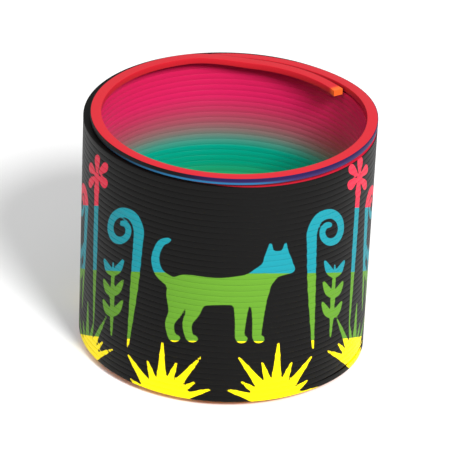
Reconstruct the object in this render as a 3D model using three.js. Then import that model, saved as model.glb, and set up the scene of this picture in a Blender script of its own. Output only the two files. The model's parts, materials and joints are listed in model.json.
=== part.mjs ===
import * as THREE from 'three';

// Spring coil toy: one flat plastic strip wound into a closed, left-handed coil that stands on its
// end turn. Millimetres, +Z up, origin at the middle of the resting face, front towards -Y.
// The strip bends all along its length. Here it is cut, at the right and the left of the coil,
// into stretches that are joined edge to edge, so that the coil can open, arch and lean.

// Driving dimensions
const outerDiameter = 75;
const stripWidth = 2.8;
const stripThickness = 1.5;
const pitch = 1.62;
const tipAzimuth = 40;          // degrees: the top tip is here, the bottom tip at minus this
const endStackTurns = [4.5, 2.5, 1.5];   // stretches that stay stacked at each end, from the tip inwards
const middleTurns = 22;         // turns that open one half at a time
const cutGap = 0.24;            // free space between two neighbouring stretches
const stepsPerTurn = 36;
const tailInset = 3.2;          // how far the tucked-in tip lies inside the next turn

const outerRadius = outerDiameter / 2;
const middleRadius = outerRadius - stripWidth / 2;

// Places along the strip are counted in turns from the bottom tip
const tailTurns = 0.5 - tipAzimuth / 360;
const endTurns = endStackTurns.reduce((sum, turns) => sum + turns, tailTurns);
const totalTurns = 2 * endTurns + middleTurns;
const levelFrom = 0.2;          // the end turn lies level from here ...
const levelTo = 0.89;           // ... to here, and then steps up to the coil's own slope
const slopeFrom = 1.06;
const tuckedUntil = 0.11;       // the tip lies beside the next turn up to here,
const tuckRise = 0.9 * pitch;   // which is this far above the level of the end turn
const insetUntil = 0.19;        // the end turn drifts back out to the full radius after this
const fullRadiusFrom = 0.64;

function ease(x) {
    return THREE.MathUtils.smoothstep(x, 0, 1);
}

// Height of the strip's underside above the bottom of an end that lies level
function endHeight(turns) {
    const slope = pitch * (turns - levelFrom);
    if (turns >= slopeFrom) return slope;
    if (turns >= levelTo) {
        const share = ease((turns - levelTo) / (slopeFrom - levelTo));
        return share * pitch * (slopeFrom - levelFrom);
    }
    if (turns >= levelFrom) return 0;
    return tuckRise * ease((levelFrom - turns) / (levelFrom - tuckedUntil));
}

function stripHeight(turns) {
    const fromTop = totalTurns - turns;
    const top = pitch * (totalTurns - 2 * levelFrom);
    return fromTop < turns ? top - endHeight(fromTop) : endHeight(turns);
}

function inset(turns) {
    const fromTip = Math.min(turns, totalTurns - turns);
    return tailInset * ease((fullRadiusFrom - fromTip) / (fullRadiusFrom - insetUntil));
}

// Going up the coil the strip turns clockwise, seen from above
function azimuth(turns) {
    return THREE.MathUtils.degToRad(-tipAzimuth) - 2 * Math.PI * turns;
}

class StripPath extends THREE.Curve {
    constructor(from, to) {
        super();
        this.from = from;
        this.to = to;
    }

    turnsAt(t) {
        return THREE.MathUtils.lerp(this.from, this.to, t);
    }

    getPoint(t, target = new THREE.Vector3()) {
        const turns = this.turnsAt(t);
        const radius = middleRadius - inset(turns);
        const angle = azimuth(turns);
        return target.set(radius * Math.cos(angle), radius * Math.sin(angle), stripHeight(turns));
    }

    getSpacedPoints(divisions) {
        return this.getPoints(divisions);
    }

    // The strip never twists: its width stays radial and its thickness stays upright
    computeFrenetFrames(segments) {
        const tangents = [];
        const normals = [];
        const binormals = [];
        for (let i = 0; i <= segments; i++) {
            const angle = azimuth(this.turnsAt(i / segments));
            tangents.push(new THREE.Vector3(Math.sin(angle), -Math.cos(angle), 0));
            normals.push(new THREE.Vector3(Math.cos(angle), Math.sin(angle), 0));
            binormals.push(new THREE.Vector3(0, 0, 1));
        }
        return { tangents, normals, binormals };
    }
}

function stripSection() {
    const half = stripWidth / 2;
    return new THREE.Shape([
        new THREE.Vector2(-half, 0),
        new THREE.Vector2(half, 0),
        new THREE.Vector2(half, stripThickness),
        new THREE.Vector2(-half, stripThickness),
    ]);
}

// The dye runs from orange at the bottom to red at the top
const dyes = [0xf08a1c, 0xf2d21e, 0x57a82c, 0x00a08c, 0xd81e5a, 0xd9303a];

function dyeMaterial(turns) {
    const step = Math.min(dyes.length - 1, Math.floor(dyes.length * turns / totalTurns));
    return new THREE.MeshStandardMaterial({ color: dyes[step], roughness: 0.3, metalness: 0 });
}

function stretch(name, from, to) {
    const halfGap = cutGap / 2 / (2 * Math.PI * middleRadius);
    const start = from > 0 ? from + halfGap : from;
    const end = to < totalTurns ? to - halfGap : to;
    const geometry = new THREE.ExtrudeGeometry(stripSection(), {
        steps: Math.round(stepsPerTurn * (to - from)),
        extrudePath: new StripPath(start, end),
        bevelEnabled: false,
    });
    const mesh = new THREE.Mesh(geometry, dyeMaterial((from + to) / 2));
    mesh.name = name;
    return mesh;
}

const coil = new THREE.Group();
let place = 0;

function addStretch(name, turns) {
    coil.add(stretch(name, place, place + turns));
    place += turns;
}

addStretch('bottom_end_turns', tailTurns + endStackTurns[0]);
addStretch('lower_stack_outer', endStackTurns[1]);
addStretch('lower_stack_inner', endStackTurns[2]);

const firstMiddleTurn = Math.ceil(endTurns);
for (let i = 0; i < middleTurns; i++) {
    const number = String(firstMiddleTurn + i).padStart(2, '0');
    addStretch(`turn_${number}_front`, 0.5);
    addStretch(`turn_${number}_back`, 0.5);
}

addStretch('upper_stack_inner', endStackTurns[2]);
addStretch('upper_stack_outer', endStackTurns[1]);
addStretch('top_end_turns', endStackTurns[0] + tailTurns);

export default coil;
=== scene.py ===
import json
import math
import bpy
import numpy as np
from mathutils import Matrix, Vector

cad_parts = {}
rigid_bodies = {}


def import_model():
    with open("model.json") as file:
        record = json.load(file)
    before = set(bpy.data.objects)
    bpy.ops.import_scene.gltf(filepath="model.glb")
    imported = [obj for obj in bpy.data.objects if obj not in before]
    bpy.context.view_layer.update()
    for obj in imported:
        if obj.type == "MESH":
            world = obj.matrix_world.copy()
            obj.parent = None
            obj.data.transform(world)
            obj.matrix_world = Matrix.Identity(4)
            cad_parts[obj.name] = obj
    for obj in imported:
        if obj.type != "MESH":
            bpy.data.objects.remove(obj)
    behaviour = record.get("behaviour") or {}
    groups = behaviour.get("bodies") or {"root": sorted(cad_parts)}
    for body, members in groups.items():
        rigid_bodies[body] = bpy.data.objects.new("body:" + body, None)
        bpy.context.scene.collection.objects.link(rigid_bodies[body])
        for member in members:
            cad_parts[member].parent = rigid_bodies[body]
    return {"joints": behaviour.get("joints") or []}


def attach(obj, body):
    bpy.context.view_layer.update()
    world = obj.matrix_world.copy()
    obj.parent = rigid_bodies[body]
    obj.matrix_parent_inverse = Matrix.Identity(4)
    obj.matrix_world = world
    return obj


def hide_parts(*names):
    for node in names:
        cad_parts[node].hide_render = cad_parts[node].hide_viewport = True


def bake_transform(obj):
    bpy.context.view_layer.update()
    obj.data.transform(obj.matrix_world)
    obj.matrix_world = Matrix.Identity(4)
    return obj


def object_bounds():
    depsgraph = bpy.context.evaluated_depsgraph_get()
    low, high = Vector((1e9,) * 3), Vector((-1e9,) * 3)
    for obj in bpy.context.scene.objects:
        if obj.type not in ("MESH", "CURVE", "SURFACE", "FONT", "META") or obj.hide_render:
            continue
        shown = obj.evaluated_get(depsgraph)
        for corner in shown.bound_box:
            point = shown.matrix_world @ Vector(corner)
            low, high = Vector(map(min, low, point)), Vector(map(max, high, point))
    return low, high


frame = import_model()
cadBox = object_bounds()
mm = 0.001


# sizes that the frame doesn't give, and room for those that it does

coil = {
    "tipAngle": 40.0,          # degrees from +X to the top tip; the bottom tip is at minus this
    "width": 2.8 * mm,         # of the strip, across its flat face
    "cadThickness": 1.5 * mm,
    "thickness": 1.61 * mm,     # neighbouring turns all but touch
    "levelFrom": 0.2,          # an end turn lies level from here, in turns from its tip ...
    "levelTo": 0.89,
    "slopeFrom": 1.06,         # ... and has the coil's own slope from here
    "tuckedUntil": 0.11,
    "tuckRise": 0.9,           # of a pitch: how far the tucked tip stands off the level
    "insetUntil": 0.19,        # the tail keeps its inset until here ...
    "fullRadiusFrom": 0.64,    # ... and has drifted out to the wall here
    "tailInset": 3.2 * mm,
    "tipReach": 0.02,          # turns by which the top tip runs on past the frame's
    "tipRounding": 0.0063,     # both tips are rounded off over this much of a turn
    "innerCorner": 0.09,       # 0 is a sharp corner
    "outerCorner": 0.05,
    "bendReach": 0.25,         # turns on each side of a cut over which the strip bends
    "stepsPerTurn": 480,
    "roundSteps": 24,          # points around the strip's section
}


def readFrame():
    # the joints run up the coil in order, half a turn apart in the middle
    joints = frame["joints"]
    heights = [joint["pos_m"][2] for joint in joints]
    middle = len(heights) // 2
    pitch = 2 * (heights[middle + 1] - heights[middle])
    coil["pitch"] = pitch
    coil["outerRadius"] = (cadBox[1][0] - cadBox[0][0]) / 2
    coil["height"] = cadBox[1][2] - cadBox[0][2]
    cuts = [(z - coil["cadThickness"] / 2) / pitch + coil["levelFrom"] for z in heights]
    cuts = [round(turn * 360) / 360 for turn in cuts]
    coil["totalTurns"] = cuts[0] + cuts[-1]
    coil["cuts"] = cuts
    coil["chain"] = [joints[0]["parent"]] + [joint["child"] for joint in joints]


readFrame()
print("frame read:", len(coil["chain"]), "bodies,", round(coil["totalTurns"], 2), "turns")


# node helpers

def addNode(tree, kind, **settings):
    node = tree.nodes.new(kind)
    for name, value in settings.items():
        setattr(node, name, value)
    return node


def plug(tree, value, socket):
    # a value is a number or colour, or the socket that supplies it
    if isinstance(value, bpy.types.NodeSocket):
        tree.links.new(value, socket)
    else:
        socket.default_value = value


def calc(tree, operation, *values):
    node = addNode(tree, "ShaderNodeMath", operation=operation)
    for value, socket in zip(values, node.inputs):
        plug(tree, value, socket)
    return node.outputs[0]


def easeBetween(tree, value, fromLow, fromHigh, toLow, toHigh):
    node = addNode(tree, "ShaderNodeMapRange", interpolation_type="SMOOTHSTEP")
    for given, name in zip((value, fromLow, fromHigh, toLow, toHigh),
                           ("Value", "From Min", "From Max", "To Min", "To Max")):
        plug(tree, given, node.inputs[name])
    return node.outputs["Result"]


def xyz(tree, x, y, z):
    node = addNode(tree, "ShaderNodeCombineXYZ")
    for value, socket in zip((x, y, z), node.inputs):
        plug(tree, value, socket)
    return node.outputs[0]


# the strip: a section swept along the coil

def stripTree(material):
    tree = bpy.data.node_groups.new("wound strip", "GeometryNodeTree")
    tree.interface.new_socket("Geometry", in_out="OUTPUT", socket_type="NodeSocketGeometry")
    given = {}
    for name in ("From Turn", "To Turn", "Total Turns", "Pitch", "Outer Radius", "Width", "Thickness",
                 "Base Height", "Tip Angle", "Tail Inset", "Tip Reach"):
        given[name] = tree.interface.new_socket(name, in_out="INPUT", socket_type="NodeSocketFloat")
    for name in ("Steps", "Round Steps"):
        given[name] = tree.interface.new_socket(name, in_out="INPUT", socket_type="NodeSocketInt")
    sizes = addNode(tree, "NodeGroupInput").outputs
    pitch = sizes["Pitch"]

    # places along the strip, in turns
    line = addNode(tree, "GeometryNodeCurvePrimitiveLine")
    points = addNode(tree, "GeometryNodeResampleCurve")
    tree.links.new(line.outputs[0], points.inputs["Curve"])
    plug(tree, calc(tree, "ADD", sizes["Steps"], 1), points.inputs["Count"])
    step = calc(tree, "DIVIDE", addNode(tree, "GeometryNodeInputIndex").outputs[0], sizes["Steps"])
    length = calc(tree, "SUBTRACT", sizes["To Turn"], sizes["From Turn"])
    turn = calc(tree, "MULTIPLY_ADD", step, length, sizes["From Turn"])
    fromTip = calc(tree, "MINIMUM", turn, calc(tree, "SUBTRACT", sizes["Total Turns"], turn))

    # radius: the tail drifts inwards
    inset = easeBetween(tree, fromTip, coil["insetUntil"], coil["fullRadiusFrom"], sizes["Tail Inset"], 0)
    middleRadius = calc(tree, "MULTIPLY_ADD", sizes["Width"], -0.5, sizes["Outer Radius"])
    radius = calc(tree, "SUBTRACT", middleRadius, inset)

    # height above the level end turn: step up, slope, and the tucked tip
    stepUp = calc(tree, "MULTIPLY", pitch, coil["slopeFrom"] - coil["levelFrom"])
    raised = easeBetween(tree, fromTip, coil["levelTo"], coil["slopeFrom"], 0, stepUp)
    past = calc(tree, "MAXIMUM", calc(tree, "SUBTRACT", fromTip, coil["slopeFrom"]), 0)
    tucked = easeBetween(tree, fromTip, coil["tuckedUntil"], coil["levelFrom"],
                         calc(tree, "MULTIPLY", pitch, coil["tuckRise"]), 0)
    endHeight = calc(tree, "ADD", calc(tree, "MULTIPLY_ADD", past, pitch, raised), tucked)

    # the upper half is the lower half turned over
    slopedTurns = calc(tree, "SUBTRACT", sizes["Total Turns"], 2 * coil["levelFrom"])
    halfHeight = calc(tree, "MULTIPLY", calc(tree, "MULTIPLY", slopedTurns, pitch), 0.5)
    middleTurn = calc(tree, "MULTIPLY", sizes["Total Turns"], 0.5)
    side = calc(tree, "SIGN", calc(tree, "SUBTRACT", middleTurn, turn))
    below = calc(tree, "MULTIPLY", side, calc(tree, "SUBTRACT", halfHeight, endHeight))
    height = calc(tree, "ADD", calc(tree, "SUBTRACT", halfHeight, below), sizes["Base Height"])

    angle = calc(tree, "MULTIPLY_ADD", turn, -2 * math.pi, calc(tree, "MULTIPLY", sizes["Tip Angle"], -1))
    place = addNode(tree, "GeometryNodeSetPosition")
    tree.links.new(points.outputs[0], place.inputs["Geometry"])
    plug(tree, xyz(tree, calc(tree, "MULTIPLY", radius, calc(tree, "COSINE", angle)),
                   calc(tree, "MULTIPLY", radius, calc(tree, "SINE", angle)), height),
         place.inputs["Position"])
    remember = addNode(tree, "GeometryNodeStoreNamedAttribute", data_type="FLOAT", domain="POINT")
    remember.inputs["Name"].default_value = "turn"
    tree.links.new(place.outputs[0], remember.inputs["Geometry"])
    tree.links.new(turn, remember.inputs["Value"])
    upright = addNode(tree, "GeometryNodeSetCurveNormal", mode="Z_UP")
    tree.links.new(remember.outputs[0], upright.inputs["Curve"])

    # the radius shrinks in a dome towards both tips
    lastTurn = calc(tree, "ADD", sizes["Total Turns"], sizes["Tip Reach"])
    fromEnd = calc(tree, "MINIMUM", turn, calc(tree, "SUBTRACT", lastTurn, turn))
    fromEnd = calc(tree, "MINIMUM", calc(tree, "DIVIDE", fromEnd, coil["tipRounding"]), 1)
    fromEnd = calc(tree, "SUBTRACT", 1, fromEnd)
    taper = addNode(tree, "GeometryNodeSetCurveRadius")
    tree.links.new(upright.outputs[0], taper.inputs["Curve"])
    dome = calc(tree, "SQRT", calc(tree, "SUBTRACT", 1.06, calc(tree, "MULTIPLY", fromEnd, fromEnd)))
    plug(tree, calc(tree, "MINIMUM", dome, 1), taper.inputs["Radius"])

    # section: a circle pulled out to a rounded rectangle, crisper on the outer side
    ring = addNode(tree, "GeometryNodeCurvePrimitiveCircle")
    tree.links.new(sizes["Round Steps"], ring.inputs["Resolution"])
    spot = addNode(tree, "ShaderNodeSeparateXYZ")
    tree.links.new(addNode(tree, "GeometryNodeInputPosition").outputs[0], spot.inputs[0])
    across, up = spot.outputs[0], spot.outputs[1]
    squareness = easeBetween(tree, across, -0.01, 0.01, coil["innerCorner"], coil["outerCorner"])

    def squared(value, half):
        power = calc(tree, "POWER", calc(tree, "ABSOLUTE", value), squareness)
        return calc(tree, "MULTIPLY", calc(tree, "MULTIPLY", calc(tree, "SIGN", value), power), half)

    halfWidth = calc(tree, "MULTIPLY", sizes["Width"], 0.5)
    halfThickness = calc(tree, "MULTIPLY", sizes["Thickness"], 0.5)
    section = addNode(tree, "GeometryNodeSetPosition")
    tree.links.new(ring.outputs[0], section.inputs["Geometry"])
    corner = xyz(tree, squared(across, halfWidth), squared(up, halfThickness), 0)
    plug(tree, corner, section.inputs["Position"])

    sweep = addNode(tree, "GeometryNodeCurveToMesh")
    tree.links.new(taper.outputs[0], sweep.inputs["Curve"])
    tree.links.new(section.outputs[0], sweep.inputs["Profile Curve"])
    sweep.inputs["Fill Caps"].default_value = True
    real = addNode(tree, "GeometryNodeRealizeInstances")
    finish = addNode(tree, "GeometryNodeSetMaterial")
    finish.inputs["Material"].default_value = material
    tree.links.new(sweep.outputs[0], real.inputs[0])
    tree.links.new(real.outputs[0], finish.inputs["Geometry"])
    result = addNode(tree, "NodeGroupOutput")
    tree.links.new(finish.outputs[0], result.inputs[0])
    return tree, {name: socket.identifier for name, socket in given.items()}


def woundStrip(name, fromTurn, toTurn, tree, identifiers):
    piece = bpy.data.objects.new(name, bpy.data.meshes.new(name))
    bpy.context.scene.collection.objects.link(piece)
    modifier = piece.modifiers.new("wound strip", "NODES")
    modifier.node_group = tree
    values = {
        "From Turn": fromTurn, "To Turn": toTurn, "Total Turns": coil["totalTurns"],
        "Pitch": coil["pitch"], "Outer Radius": coil["outerRadius"], "Width": coil["width"],
        "Thickness": coil["thickness"], "Base Height": cadBox[0][2] + coil["cadThickness"] / 2,
        "Tip Angle": math.radians(coil["tipAngle"]), "Tail Inset": coil["tailInset"],
        "Tip Reach": coil["tipReach"],
        "Steps": round((toTurn - fromTurn) * coil["stepsPerTurn"]), "Round Steps": coil["roundSteps"],
    }
    for key, value in values.items():
        modifier[identifiers[key]] = value
    depsgraph = bpy.context.evaluated_depsgraph_get()
    mesh = bpy.data.meshes.new_from_object(piece.evaluated_get(depsgraph), preserve_all_data_layers=True,
                                           depsgraph=depsgraph)
    piece.modifiers.clear()
    piece.data = mesh
    mesh.name = name
    return piece


# the print: plain figures on the unrolled wall, in millimetres

# a stroke is a list of (along the wall, height, half width); the wall's front is 0
cat = {
    "body": [(-9.6, 33.4, 4.7), (-1, 33.2, 3.9), (7.4, 33.8, 4.5)],
    "neck": [(8.6, 36, 3.4), (12, 39.8, 2.6)],
    "head": [(13.4, 41.6, 3.5), (14.2, 41.5, 3.4)],
    "muzzle": [(16.2, 40.2, 1.5), (17.3, 40, 1.1)],
    "tail": [(-13.2, 35.8, 1.4), (-16.6, 38.6, 1.1), (-17.8, 43, 1), (-16.4, 47.2, 0.9), (-14.2, 48.2, 0.6)],
    "hindLegsAt": (-12, -7.4),
    "frontLegsAt": (4.8, 9.2),
    "earsAt": (11.4, 15.4),
    "pawLevel": 19,
}
# distances from the front; every plant stands once on each side of it
meadow = {
    "ferns": [(23, 57, 5.8), (47, 64, 5.4)],     # distance, top, radius of the curl
    "flowers": [(40, 67)],                       # distance, middle of the petals
    "leafyStems": [(31.5, 41), (53, 46)],        # distance, top
    "petals": 6,
    "leafSpacing": 6.2,
    "rootDepth": 14,                             # from the lower edge of the wall up to the stems' feet
    "tuftsAt": (15, 44),
    "blades": 9,
    "bladeLength": 19,
}
inkColours = {
    "ground": (0.0018, 0.0016, 0.0015, 1),
    "yellow": (0.93, 0.74, 0.0, 1),
    "green": (0.093, 0.243, 0.017, 1),
    "cyan": (0.006, 0.215, 0.262, 1),
    "pink": (0.60, 0.021, 0.052, 1),
}
# the picture lies straight across the wall, so it runs downhill towards the sides
printing = {"dip": 19.9, "middle": 45, "stretch": 1.04, "tilt": 0.045}
bandEdges = {"green": 18.2, "cyan": 38.5, "pink": 57.9, "top": 90.0}
# where the ink and the dye meet near the top, in turns from the top tip
rim = {
    "inkEdge": 0.44,                            # across the strip; its outer edge is 0.5
    "wrap": (0.14, 1.02, 1.1),                  # the ink laps over the corner: how far, from, fully from
    "wideWrap": (0.45, 1.12, 1.25, 1.55, 1.66),
    "wedge": (1.62, 1.68, 1.9, 2),              # ... except where a wedge of dye shows
    "bareSide": (0.58, 0.63, 0.985, 0.995),     # the side is navy instead of black
    "blueLine": (0.46, 0.6, 0.66, 0.72),
}


def softUnion(one, other, soft):
    h = np.clip(0.5 + 0.5 * (other - one) / soft, 0, 1)
    return other + (one - other) * h - soft * h * (1 - h)


def strokeDistance(along, height, stroke):
    # distance to a chain of round-ended tapers, negative inside
    nearest = np.full(along.shape, 1e3)
    for (x0, y0, r0), (x1, y1, r1) in zip(stroke, stroke[1:]):
        dx, dy = x1 - x0, y1 - y0
        t = np.clip(((along - x0) * dx + (height - y0) * dy) / (dx * dx + dy * dy), 0, 1)
        reach = np.hypot(along - x0 - t * dx, height - y0 - t * dy) - (r0 + (r1 - r0) * t)
        nearest = softUnion(nearest, reach, 0.5)
    return nearest


def rounded(stroke):
    # passes a smooth curve through the stroke's points
    points = np.array([stroke[0]] + stroke + [stroke[-1]], float)
    smoothed = []
    for a, b, c, d in zip(points, points[1:], points[2:], points[3:]):
        for t in (0, 0.25, 0.5, 0.75):
            smoothed.append(0.5 * (2 * b + (c - a) * t + (2 * a - 5 * b + 4 * c - d) * t * t
                                   + (3 * b - a - 3 * c + d) * t ** 3))
    return smoothed + [points[-1]]


def lowerEdge(along):
    # where the foot of the wall lies in the print
    dip = printing["dip"] * (1 - math.cos(along * mm / coil["outerRadius"]))
    return printing["middle"] + printing["stretch"] * (dip - printing["middle"])


def catStrokes():
    strokes = [cat[name] for name in ("body", "neck", "head", "muzzle", "tail")]
    paw = cat["pawLevel"]
    for x in cat["frontLegsAt"]:
        strokes.append([(x, 31, 2), (x, 24.5, 1.3), (x, paw + 0.3, 1), (x + 1.2, paw, 0.8)])
    for x in cat["hindLegsAt"]:
        strokes.append([(x + 0.6, 31.6, 2.8), (x + 0.2, 27, 1.7), (x - 1.2, 23.4, 1.1),
                        (x - 0.4, paw + 0.3, 0.9), (x + 0.9, paw, 0.8)])
    for x in cat["earsAt"]:
        strokes.append([(x, 43.4, 1.2), (x + 0.1, 47.6, 0.2)])
    return strokes


def fern(side, distance, top, radius):
    # a stem that ends in a curl of a turn and a quarter
    foot = lowerEdge(distance) + meadow["rootDepth"]
    x, middleHeight = side * distance, top - radius
    stroke = [(x + side * 2.4, foot, 0.3), (x + side * 0.9, (foot + middleHeight) / 2, 1.2),
              (x + side * 0.1, middleHeight - 0.8 * radius, 1.4)]
    for step in range(11):
        angle = math.pi * (1 - step / 4)
        reach = radius * (1 - 0.07 * step)
        stroke.append((x + side * (radius + reach * math.cos(angle)),
                       middleHeight + reach * math.sin(angle), 1.4 - 0.08 * step))
    return [stroke]


def flower(side, distance, top):
    x, foot = side * distance, lowerEdge(distance) + meadow["rootDepth"]
    strokes = [[(x, foot, 0.3), (x, (foot + top) / 2, 1.1), (x, top, 1.1)]]
    for petal in range(meadow["petals"]):
        angle = math.pi * (0.5 + 2 * petal / meadow["petals"])
        across, up = math.cos(angle), math.sin(angle)
        strokes.append([(x + 1.6 * across, top + 1.6 * up, 0.5), (x + 4.6 * across, top + 4.6 * up, 1.5)])
    return strokes


def leafyStem(side, distance, top):
    foot = lowerEdge(distance) + meadow["rootDepth"]
    x = side * distance
    strokes = [[(x, foot, 0.3), (x, (foot + top) / 2, 0.8), (x, top, 0.3)]]
    leaf = foot + meadow["leafSpacing"]
    while leaf < top - meadow["leafSpacing"] / 2:
        for way in (-1, 1):
            middle, tip = (x + 2 * way, leaf + 1.6, 1.1), (x + 3.8 * way, leaf + 4.4, 0.3)
            strokes.append([(x, leaf, 0.5), middle, tip])
        leaf += meadow["leafSpacing"]
    return strokes


def grassTuft(side, distance):
    # long and short blades by turns, fanned out from one root
    foot = lowerEdge(distance) - 1
    strokes = []
    for blade in range(meadow["blades"]):
        lean = math.radians(140) * (blade / (meadow["blades"] - 1) - 0.5)
        reach = meadow["bladeLength"] * (1 if blade % 2 == 0 else 0.72) * (0.6 + 0.4 * math.cos(lean))
        tip = (side * distance + reach * math.sin(lean), foot + reach * math.cos(lean), 0.25)
        strokes.append([(side * distance, foot, 2), tip])
    return strokes


def meadowStrokes():
    strokes = []
    for side in (-1, 1):
        for place in meadow["ferns"]:
            strokes += fern(side, *place)
        for place in meadow["flowers"]:
            strokes += flower(side, *place)
        for place in meadow["leafyStems"]:
            strokes += leafyStem(side, *place)
        for distance in meadow["tuftsAt"]:
            strokes += grassTuft(side, distance)
    return strokes


def motifDistance(along, height):
    nearest = np.full(along.shape, 1e3)
    for stroke in catStrokes():
        nearest = softUnion(nearest, strokeDistance(along, height, rounded(stroke)), 0.9)
    for stroke in meadowStrokes():
        nearest = np.minimum(nearest, strokeDistance(along, height, rounded(stroke)))
    return nearest


def smooth(value, low, high):
    t = np.clip((value - low) / (high - low), 0, 1)
    return t * t * (3 - 2 * t)


def between(value, riseFrom, riseTo, fallFrom, fallTo):
    return smooth(value, riseFrom, riseTo) * (1 - smooth(value, fallFrom, fallTo))


def addPrint(mesh):
    count = len(mesh.vertices)
    turn = np.empty(count, np.float32)
    mesh.attributes["turn"].data.foreach_get("value", turn)
    spots = np.empty(count * 3, np.float32)
    mesh.vertices.foreach_get("co", spots)
    x, y, z = spots.reshape(-1, 3).astype(float).T

    # every section stands square to the wall, so that neighbouring pieces meet exactly
    angle = -math.radians(coil["tipAngle"]) - 2 * math.pi * turn.astype(float)
    reach = np.hypot(x, y)
    x, y = reach * np.cos(angle), reach * np.sin(angle)
    mesh.vertices.foreach_set("co", np.stack([x, y, z], axis=1).astype(np.float32).ravel())
    fromTop = coil["totalTurns"] - turn
    fromTip = np.minimum(turn, fromTop)
    inset = coil["tailInset"] * (1 - smooth(fromTip, coil["insetUntil"], coil["fullRadiusFrom"]))
    across = (reach + inset - coil["outerRadius"]) / coil["width"] + 0.5

    # the wall unrolled from its front, and folded over so that the back carries the mirror image
    around = np.arctan2(x, -y)
    folded = np.where(np.abs(around) > math.pi / 2, np.sign(around) * math.pi - around, around)
    along = folded * coil["outerRadius"] / mm
    lift = (z - cadBox[0][2]) / mm + printing["dip"] * (1 - np.sqrt(np.cos(folded) ** 2 + 0.004))
    middle = printing["middle"]
    height = middle + printing["stretch"] * (lift - middle) - printing["tilt"] * x / mm

    columns = z.reshape(-1, coil["roundSteps"])
    up = ((columns - columns.mean(axis=1, keepdims=True)) / coil["thickness"] * 2).ravel()
    lap, lapFrom, lapTo = rim["wrap"]
    wrap = lap * smooth(fromTop, lapFrom, lapTo) * (1 - between(fromTop, *rim["wedge"]))
    wrap = wrap + rim["wideWrap"][0] * between(fromTop, *rim["wideWrap"][1:])
    motifEdge = np.full(count, 5.0)
    near = across > -0.1
    motifEdge[near] = motifDistance(along[near], height[near])
    values = {
        "alongCoil": turn / coil["totalTurns"],
        "bandHeight": height,
        "motifEdge": motifEdge,
        "across": across,
        "stripUp": up,
        "inkFrom": rim["inkEdge"] - wrap,
        "bareSide": between(fromTop, *rim["bareSide"]),
        "tipGlow": 1 - smooth(fromTop, 0.004 - coil["tipReach"], 0.012 - coil["tipReach"]),
        "blueLine": between(fromTop, *rim["blueLine"]),
    }
    for name, data in values.items():
        layer = mesh.attributes.new(name, "FLOAT", "POINT")
        layer.data.foreach_set("value", data.astype(np.float32))


def layFlat(mesh, steps):
    # unwraps the strip into a block of equal rows, the section's own edges along the rows' length
    roundSteps = coil["roundSteps"]
    stepLength = 2 * math.pi * coil["outerRadius"] / coil["stepsPerTurn"]
    around = 2.2 * (coil["width"] + coil["thickness"])
    rows = max(1, round(math.sqrt(steps * stepLength / around)))
    rowSteps = math.ceil(steps / rows)
    layer = mesh.uv_layers.new(name="OFBake")
    loops = np.empty(len(mesh.loops), np.int32)
    mesh.loops.foreach_get("vertex_index", loops)
    quads = loops[:steps * roundSteps * 4].reshape(-1, 4)
    column, spoke = quads // roundSteps, quads % roundSteps
    column = column.astype(float)
    first = column.min(axis=1, keepdims=True)
    wraps = (spoke.max(axis=1, keepdims=True) - spoke.min(axis=1, keepdims=True)) > 1
    spoke = np.where(wraps & (spoke == 0), roundSteps, spoke)
    row = first // rowSteps
    u = (column - row * rowSteps) / rowSteps * 0.98 + 0.01
    v = (row + 0.06 + 0.88 * spoke / roundSteps) / rows
    flat = np.full((len(loops), 2), 0.995)
    flat[:len(quads) * 4, 0] = u.ravel()
    flat[:len(quads) * 4, 1] = v.ravel()
    layer.data.foreach_set("uv", flat.astype(np.float32).ravel())


# material

def mixColour(tree, amount, below, above):
    node = addNode(tree, "ShaderNodeMix", data_type="RGBA")
    plug(tree, amount, node.inputs[0])
    plug(tree, below, node.inputs[6])
    plug(tree, above, node.inputs[7])
    return node.outputs[2]


def mixNumber(tree, amount, low, high):
    node = addNode(tree, "ShaderNodeMix", data_type="FLOAT")
    plug(tree, amount, node.inputs[0])
    plug(tree, low, node.inputs[2])
    plug(tree, high, node.inputs[3])
    return node.outputs[0]


def colourRamp(tree, value, stops, kind="EASE"):
    node = addNode(tree, "ShaderNodeValToRGB")
    ramp = node.color_ramp
    ramp.interpolation = kind
    for place, colour in stops[2:]:
        ramp.elements.new(place)
    for element, (place, colour) in zip(ramp.elements, stops):
        element.position = place
        element.color = colour
    plug(tree, value, node.inputs[0])
    return node.outputs[0]


def attribute(tree, name):
    return addNode(tree, "ShaderNodeAttribute", attribute_name=name).outputs["Fac"]


plastic = {
    "bleed": 0.5,              # of a turn: how far a dye runs up or down into the next
    "inkSoftness": 0.1,        # mm at the edge of a figure
    "dyeRoughness": 0.28,
    "inkRoughness": 0.5,
    "specular": 0.11,
    "tip": (0.80, 0.12, 0.02, 1),
    # painted reflection: the bare navy side is painted lighter on its lower half, as if it mirrored the pale
    # floor
    "navyPaintedReflection": (0.032, 0.016, 0.085, 1),
    "navy": (0.011, 0.004, 0.05, 1),
    "blueLine": (0.012, 0.11, 0.24, 1),
}


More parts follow.
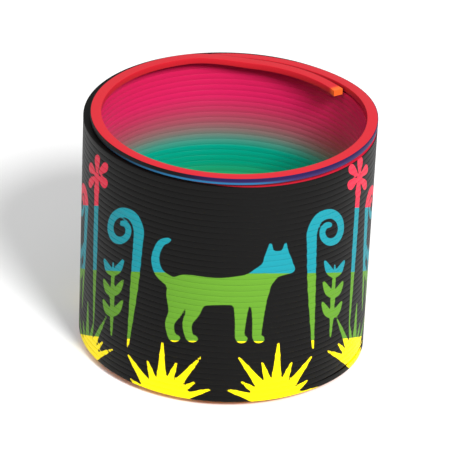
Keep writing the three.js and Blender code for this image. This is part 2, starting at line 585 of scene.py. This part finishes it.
def printedPlastic():
    material = bpy.data.materials.new("printed plastic")
    material.use_nodes = True
    tree = material.node_tree
    shader = tree.nodes["Principled BSDF"]
    up = attribute(tree, "stripUp")
    blurred = calc(tree, "MULTIPLY_ADD", up, plastic["bleed"] / coil["totalTurns"],
                   attribute(tree, "alongCoil"))
    dye = colourRamp(tree, blurred, [
        (0.0, (0.85, 0.22, 0.01, 1)), (0.15, (0.85, 0.38, 0.01, 1)), (0.27, (0.55, 0.50, 0.02, 1)),
        (0.38, (0.03, 0.30, 0.05, 1)), (0.50, (0.0, 0.27, 0.16, 1)), (0.575, (0.0, 0.29, 0.20, 1)),
        (0.61, (0.06, 0.23, 0.18, 1)), (0.645, (0.17, 0.14, 0.13, 1)), (0.69, (0.30, 0.07, 0.10, 1)),
        (0.75, (0.44, 0.03, 0.09, 1)), (0.81, (0.56, 0.014, 0.095, 1)), (0.955, (0.56, 0.012, 0.08, 1)),
        (0.972, (0.48, 0.014, 0.024, 1)),
    ], "LINEAR")
    dye = mixColour(tree, attribute(tree, "tipGlow"), dye, plastic["tip"])
    height = calc(tree, "DIVIDE", attribute(tree, "bandHeight"), bandEdges["top"])
    band = colourRamp(tree, height, [
        (0.0, inkColours["yellow"]), (bandEdges["green"] / bandEdges["top"], inkColours["green"]),
        (bandEdges["cyan"] / bandEdges["top"], inkColours["cyan"]),
        (bandEdges["pink"] / bandEdges["top"], inkColours["pink"]),
    ], "CONSTANT")
    soft = plastic["inkSoftness"]
    motif = easeBetween(tree, attribute(tree, "motifEdge"), -soft, soft, 1.0, 0.0)
    ink = mixColour(tree, motif, inkColours["ground"], band)
    # the bare side runs from a painted floor reflection on its lower half to plain navy above
    navy = mixColour(tree, easeBetween(tree, up, -0.9, 0.5, 0, 1), plastic["navyPaintedReflection"], plastic["navy"])
    side = mixColour(tree, attribute(tree, "bareSide"), ink, navy)
    line = calc(tree, "MULTIPLY", attribute(tree, "blueLine"), easeBetween(tree, up, -0.5, -0.1, 1, 0))
    side = mixColour(tree, line, side, plastic["blueLine"])
    past = calc(tree, "SUBTRACT", attribute(tree, "across"), attribute(tree, "inkFrom"))
    outer = easeBetween(tree, past, -0.015, 0.015, 0, 1)
    tree.links.new(mixColour(tree, outer, dye, side), shader.inputs["Base Color"])
    shader.inputs["Specular IOR Level"].default_value = plastic["specular"]
    roughness = mixNumber(tree, outer, plastic["dyeRoughness"], plastic["inkRoughness"])
    tree.links.new(roughness, shader.inputs["Roughness"])
    return material


# build the coil

def buildCoil():
    tree, identifiers = stripTree(printedPlastic())
    cuts = coil["cuts"]
    chain = coil["chain"]
    total = coil["totalTurns"]
    reach = coil["bendReach"]

    def addPiece(name, fromTurn, toTurn):
        piece = woundStrip(name, fromTurn, toTurn, tree, identifiers)
        addPrint(piece.data)
        layFlat(piece.data, round((toTurn - fromTurn) * coil["stepsPerTurn"]))
        return piece

    # around every cut the strip bends from one body to the next
    for index, cut in enumerate(cuts):
        piece = addPiece(f"bend_{index + 1:02d}", cut - reach, cut + reach)
        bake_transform(piece)
        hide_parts(chain[index], chain[index + 1])

    # what is left between the bends stays stiff
    edges = [-reach] + cuts + [total + reach]
    for index, body in enumerate(chain):
        fromTurn = edges[index] + reach
        toTurn = edges[index + 1] - reach + (coil["tipReach"] if index == len(cuts) else 0)
        if toTurn - fromTurn > 0.01:
            piece = addPiece(body + "_strip", fromTurn, toTurn)
            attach(piece, body)
            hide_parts(body)


buildCoil()
print("coil built")


# floor, light and camera

studio = {
    "elevation": 28.6,
    "distance": 0.827,
    "lens": 251.0,
    "roll": 2.6,
    "aim": (0.8 * mm, -1.45 * mm),   # right and up from the middle of the coil
    "floorSize": 3.0,
    "floorDrop": 0.1 * mm,           # the strip is thicker here than in the frame, so it reaches lower
}


def plainMaterial(name, colour, roughness):
    material = bpy.data.materials.new(name)
    material.use_nodes = True
    shader = material.node_tree.nodes["Principled BSDF"]
    shader.inputs["Base Color"].default_value = colour
    shader.inputs["Roughness"].default_value = roughness
    return material


def addFloor():
    mesh = bpy.data.meshes.new("floor")
    size = studio["floorSize"]
    level = cadBox[0][2] - studio["floorDrop"]
    corners = [(-size, -size, level), (size, -size, level), (size, size, level), (-size, size, level)]
    mesh.from_pydata(corners, [], [(0, 1, 2, 3)])
    mesh.materials.append(plainMaterial("pale floor", (0.86, 0.86, 0.86, 1), 0.7))
    floor = bpy.data.objects.new("floor", mesh)
    bpy.context.scene.collection.objects.link(floor)


def addLight(name, azimuth, elevation, distance, size, power):
    # azimuth from the front, positive to the right
    data = bpy.data.lights.new(name, "AREA")
    data.shape = "DISK"
    data.size = size
    data.energy = power
    light = bpy.data.objects.new(name, data)
    a, e = math.radians(azimuth), math.radians(elevation)
    towards = Vector((math.sin(a) * math.cos(e), -math.cos(a) * math.cos(e), math.sin(e)))
    centre = Vector((0, 0, coil["height"] / 2))
    light.location = centre + towards * distance
    light.rotation_euler = towards.to_track_quat("Z", "Y").to_euler()
    bpy.context.scene.collection.objects.link(light)


def addCamera():
    data = bpy.data.cameras.new("camera")
    data.lens = studio["lens"]
    data.sensor_width = 36
    data.clip_end = 20
    camera = bpy.data.objects.new("camera", data)
    e, r = math.radians(studio["elevation"]), math.radians(studio["roll"])
    forward = Vector((0, math.cos(e), -math.sin(e)))
    right = Vector((1, 0, 0))
    up = right.cross(forward)
    right, up = math.cos(r) * right + math.sin(r) * up, math.cos(r) * up - math.sin(r) * right
    aim = Vector((0, 0, coil["height"] / 2)) + studio["aim"][0] * right + studio["aim"][1] * up
    place = aim - forward * studio["distance"]
    camera.matrix_world = Matrix.Translation(place) @ Matrix((right, up, -forward)).transposed().to_4x4()
    bpy.context.scene.collection.objects.link(camera)
    bpy.context.scene.camera = camera


def addWorld():
    world = bpy.data.worlds.new("studio")
    world.use_nodes = True
    background = world.node_tree.nodes["Background"]
    background.inputs["Color"].default_value = (1, 1, 1, 1)
    background.inputs["Strength"].default_value = 0.5
    bpy.context.scene.world = world


addFloor()
addLight("key", 30, 42, 1.3, 0.4, 24)
addLight("fill", -40, 60, 1.6, 1.2, 8)
addWorld()
addCamera()
bpy.context.scene.view_settings.view_transform = "Standard"
print("stage set")
